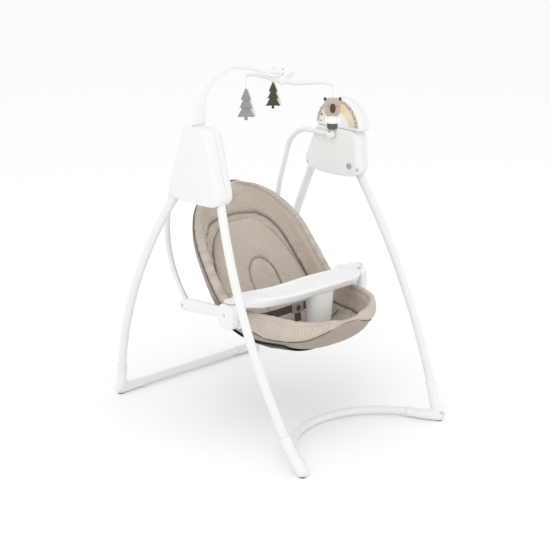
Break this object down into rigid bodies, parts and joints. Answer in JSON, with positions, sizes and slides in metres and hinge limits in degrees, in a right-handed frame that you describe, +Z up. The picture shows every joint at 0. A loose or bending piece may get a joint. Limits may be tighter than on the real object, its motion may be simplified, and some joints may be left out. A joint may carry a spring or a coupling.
{
  "type": "baby swing",
  "caption": "Free-standing baby swing with a folding tubular frame, hung padded seat, swing-away tray, motor housing and a turning toy mobile.",
  "frame": {"origin": "on the floor, midway between the four feet", "axes": "+Z up; the seat faces -Y; +X is the side with the motor housing"},
  "size_m": [0.6776, 0.8738, 1.0994],
  "materials": {
    "tube": "white powder coat",
    "moulding": "satin white ABS",
    "grey_plastic": "satin grey",
    "dark_plastic": "textured black polypropylene",
    "decal": "printed film",
    "steel": "bright zinc",
    "rubber": "matt",
    "acetal": "natural acetal",
    "board": "solder mask",
    "cell": "printed steel can",
    "fabric": "beige waffle weave",
    "webbing": "woven polyester",
    "red_plastic": "grey release button",
    "grey_plush": "felt",
    "dark_plush": "felt",
    "bear_plush": "plush"
  },
  "bodies": {
    "frame": {"left_outer_cover": "moulding", "left_inner_cover": "moulding", "right_outer_cover": "moulding", "right_inner_cover": "moulding", "control_head": "moulding", "control_panel": "grey_plastic", "control_label": "decal", "rear_leg_left": "tube", "rear_leg_right": "tube", "rear_rail": "tube", "rear_feet": "moulding", "rear_foot_pads": "rubber", "rear_leg_plugs": "grey_plastic", "hinge_pins": "steel", "pivot_bushes": "acetal", "cover_screws": "steel", "toy_socket": "moulding", "battery_cells": "cell", "battery_door": "moulding", "circuit_board": "board", "speaker": "dark_plastic", "motor": "steel", "power_inlet": "dark_plastic"},
    "front_frame": {"front_leg_left": "tube", "front_leg_right": "tube", "front_rail": "tube", "front_feet": "moulding", "front_foot_pads": "rubber", "front_leg_plugs": "grey_plastic"},
    "fold_button_left": {"fold_button_left": "grey_plastic"},
    "fold_button_right": {"fold_button_right": "grey_plastic"},
    "power_button": {"power_button": "grey_plastic"},
    "speed_button": {"speed_button": "grey_plastic"},
    "music_button": {"music_button": "grey_plastic"},
    "crank_wheel": {"crank_wheel": "acetal"},
    "worm": {"worm": "acetal"},
    "swing": {"hanger_left": "tube", "hanger_right": "tube", "pivot_shafts": "steel", "drive_lever": "acetal", "carrier_left": "moulding", "carrier_right": "moulding", "hub_covers": "moulding", "recline_pins": "steel"},
    "seat": {"seat_brackets": "dark_plastic", "seat_shell": "dark_plastic", "seat_pad": "fabric", "support_insert": "fabric", "harness_straps": "webbing", "buckle": "grey_plastic"},
    "buckle_button": {"buckle_button": "red_plastic"},
    "recline_lever": {"recline_lever": "dark_plastic"},
    "tray": {"tray": "moulding", "crotch_post": "moulding"},
    "tray_latch": {"tray_latch": "moulding"},
    "toy_arm": {"toy_arm": "moulding"},
    "mobile": {"mobile_branches": "moulding"},
    "grey_tree": {"grey_tree": "grey_plush"},
    "dark_tree": {"dark_tree": "dark_plush"},
    "teddy_bear": {"teddy_bear": "bear_plush"}
  },
  "joints": [
    {"name": "front_frame_fold", "type": "hinge", "parent": "frame", "child": "front_frame", "pos_m": [0, -0.048, 0.77], "axis": [1, 0, 0], "range_deg": [0, 40]},
    {"name": "seat_swing", "type": "hinge", "parent": "frame", "child": "swing", "pos_m": [0, 0, 0.837], "axis": [1, 0, 0], "range_deg": [-15, 15]},
    {"name": "seat_recline", "type": "hinge", "parent": "swing", "child": "seat", "pos_m": [0, -0.085, 0.378], "axis": [1, 0, 0], "range_deg": [-4, 7]},
    {"name": "tray_lift", "type": "slide", "parent": "swing", "child": "tray", "axis": [0, 0, 1], "range_m": [0, 0.08]},
    {"name": "toy_arm_swivel", "type": "hinge", "parent": "frame", "child": "toy_arm", "pos_m": [-0.275, 0.026, 0.92], "axis": [0, 0, 1], "range_deg": [-75, 75]},
    {"name": "mobile_spin", "type": "hinge", "parent": "toy_arm", "child": "mobile", "pos_m": [0.002, -0.027, 1.036], "axis": [0, 0, 1], "continuous": true},
    {"name": "grey_tree_hang", "type": "hinge", "parent": "mobile", "child": "grey_tree", "pos_m": [-0.07, 0.055, 1.044], "axis": [0.7314, -0.682, 0], "range_deg": [-12, 12]},
    {"name": "dark_tree_hang", "type": "hinge", "parent": "mobile", "child": "dark_tree", "pos_m": [0.082, 0.102, 1.047], "axis": [0.7314, -0.682, 0], "range_deg": [-12, 12]},
    {"name": "teddy_bear_hang", "type": "hinge", "parent": "mobile", "child": "teddy_bear", "pos_m": [0.046, -0.187, 1.035], "axis": [0.7314, -0.682, 0], "range_deg": [-12, 12]},
    {"name": "crank_spin", "type": "hinge", "parent": "frame", "child": "crank_wheel", "pos_m": [0.291, -0.005, 0.765], "axis": [1, 0, 0], "continuous": true},
    {"name": "worm_spin", "type": "hinge", "parent": "frame", "child": "worm", "pos_m": [0.291, 0, 0.7386], "axis": [0, 1, 0], "continuous": true},
    {"name": "fold_button_left_press", "type": "slide", "parent": "frame", "child": "fold_button_left", "axis": [-1, 0, 0], "range_m": [0, 0.004], "stiffness_N_per_m": 300, "springref_m": -0.001},
    {"name": "fold_button_right_press", "type": "slide", "parent": "frame", "child": "fold_button_right", "axis": [1, 0, 0], "range_m": [0, 0.004], "stiffness_N_per_m": 300, "springref_m": -0.001},
    {"name": "power_press", "type": "slide", "parent": "frame", "child": "power_button", "axis": [-1, 0, 0], "range_m": [0, 0.002], "stiffness_N_per_m": 200, "springref_m": -0.001},
    {"name": "speed_press", "type": "slide", "parent": "frame", "child": "speed_button", "axis": [-1, 0, 0], "range_m": [0, 0.002], "stiffness_N_per_m": 200, "springref_m": -0.001},
    {"name": "music_press", "type": "slide", "parent": "frame", "child": "music_button", "axis": [-1, 0, 0], "range_m": [0, 0.002], "stiffness_N_per_m": 200, "springref_m": -0.001},
    {"name": "buckle_press", "type": "slide", "parent": "seat", "child": "buckle_button", "axis": [0, 1, 0], "range_m": [0, 0.002], "stiffness_N_per_m": 300, "springref_m": -0.001},
    {"name": "tray_latch_press", "type": "slide", "parent": "tray", "child": "tray_latch", "axis": [1, 0, 0], "range_m": [0, 0.003], "stiffness_N_per_m": 300, "springref_m": -0.001},
    {"name": "recline_lever_squeeze", "type": "slide", "parent": "seat", "child": "recline_lever", "axis": [0, 0, 1], "range_m": [0, 0.009], "stiffness_N_per_m": 300, "springref_m": -0.004}
  ],
  "couplings": [
    {"joint": "worm_spin", "follows": "crank_spin", "ratio": 24}
  ]
}
